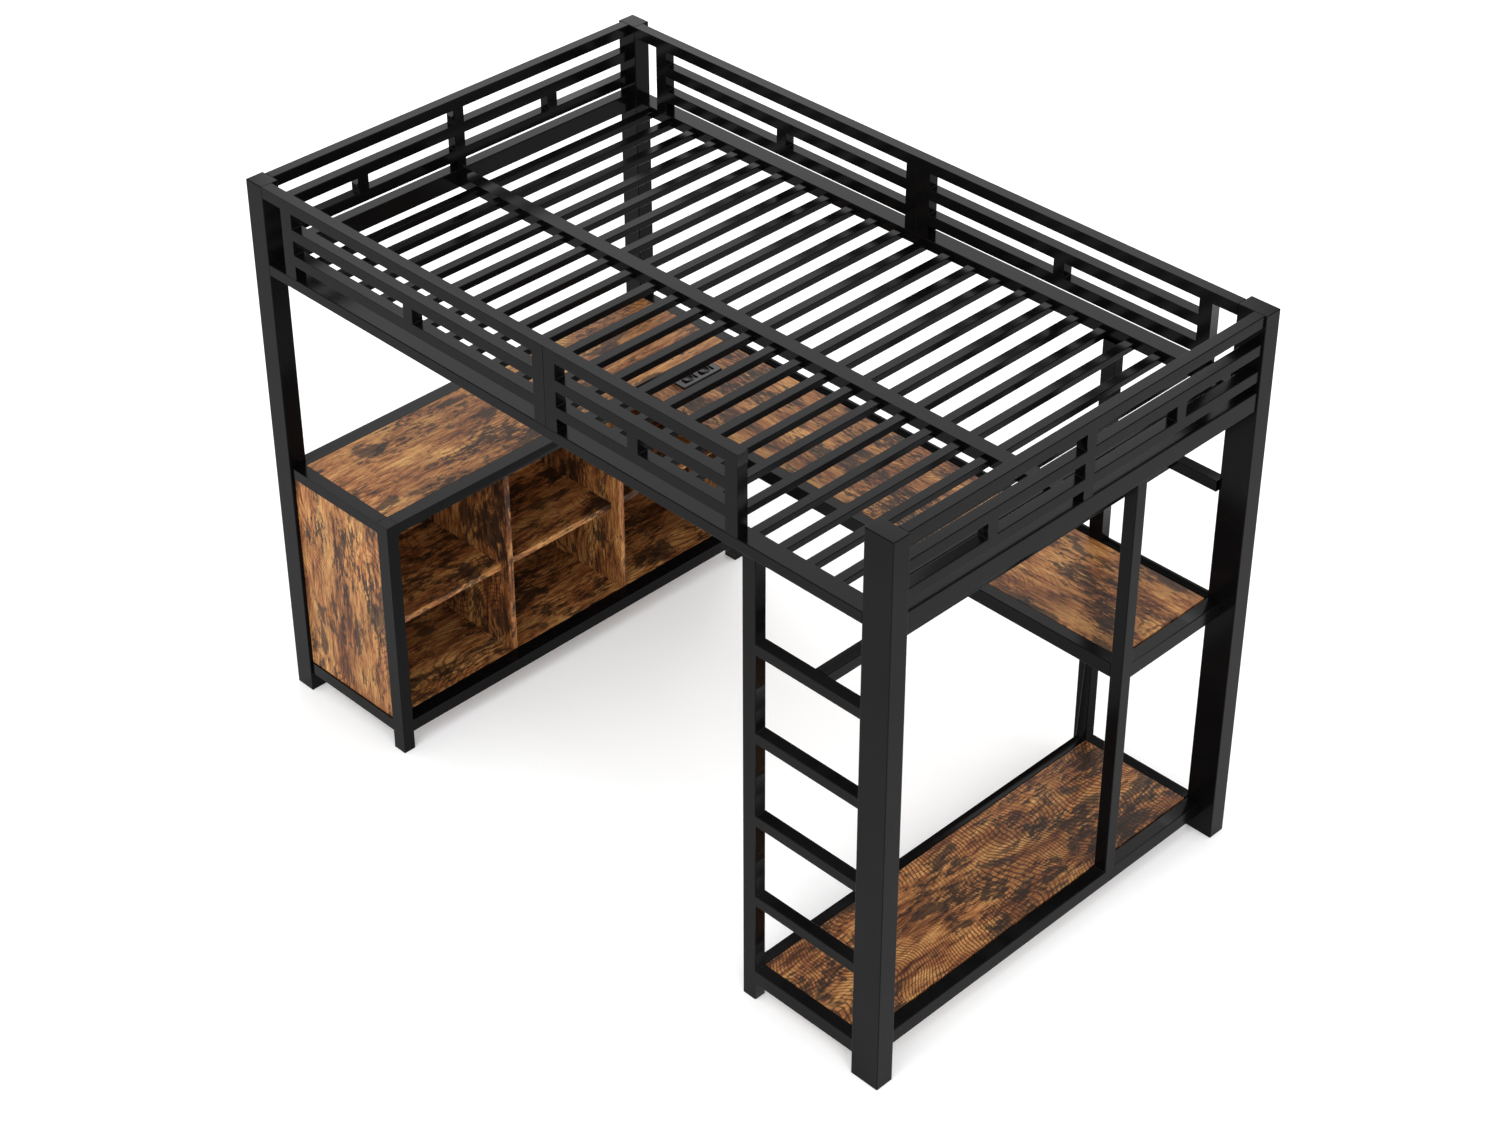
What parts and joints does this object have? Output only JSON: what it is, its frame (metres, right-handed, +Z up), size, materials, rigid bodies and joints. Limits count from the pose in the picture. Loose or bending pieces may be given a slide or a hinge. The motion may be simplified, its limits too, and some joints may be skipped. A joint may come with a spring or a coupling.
{
  "type": "loft bed with desk",
  "caption": "Full-height metal loft bed with a slatted deck and guard rails, a ladder, a desk, an open cubby cabinet and a wardrobe bay with a hanging rail and a floor shelf.",
  "frame": {"origin": "centre of the footprint at floor level", "axes": "+X along the bed towards the ladder bay, +Y across it towards the desk at the back, +Z up"},
  "size_m": [2.08, 1.247, 1.5],
  "materials": {
    "steel": "semi-gloss black powder coat",
    "wood": "matt rustic brown wood-grain laminate",
    "plastic": "satin black"
  },
  "bodies": {
    "root": {"post_front_left": "steel", "post_front_right": "steel", "post_back_left": "steel", "post_back_right": "steel", "side_rail_front": "steel", "side_rail_back": "steel", "end_rail_left": "steel", "end_rail_right": "steel", "centre_beam": "steel", "slat_01": "steel", "slat_02": "steel", "slat_03": "steel", "slat_04": "steel", "slat_05": "steel", "slat_06": "steel", "slat_07": "steel", "slat_08": "steel", "slat_09": "steel", "slat_10": "steel", "slat_11": "steel", "slat_12": "steel", "slat_13": "steel", "slat_14": "steel", "slat_15": "steel", "slat_16": "steel", "slat_17": "steel", "slat_18": "steel", "slat_19": "steel", "slat_20": "steel", "slat_21": "steel", "slat_22": "steel", "slat_23": "steel", "slat_24": "steel", "guard_front_left": "steel", "guard_front_right": "steel", "guard_back_left": "steel", "guard_back_right": "steel", "guard_left": "steel", "guard_right": "steel", "ladder_frame": "steel", "bay_base_frame": "steel", "bay_upper_frame": "steel", "end_frame": "steel", "hanging_rail": "steel", "desk_frame": "steel", "cabinet_frame": "steel", "bay_floor_shelf": "wood", "desk_top": "wood", "cabinet_top": "wood", "cabinet_bottom": "wood", "cabinet_side_panel_front": "wood", "cabinet_side_panel_back": "wood", "cabinet_rear_panel": "wood", "cabinet_divider_1": "wood", "cabinet_divider_2": "wood", "cabinet_shelf_1": "wood", "cabinet_shelf_2": "wood", "cabinet_shelf_3": "wood", "power_outlet": "plastic"}
  },
  "joints": []
}
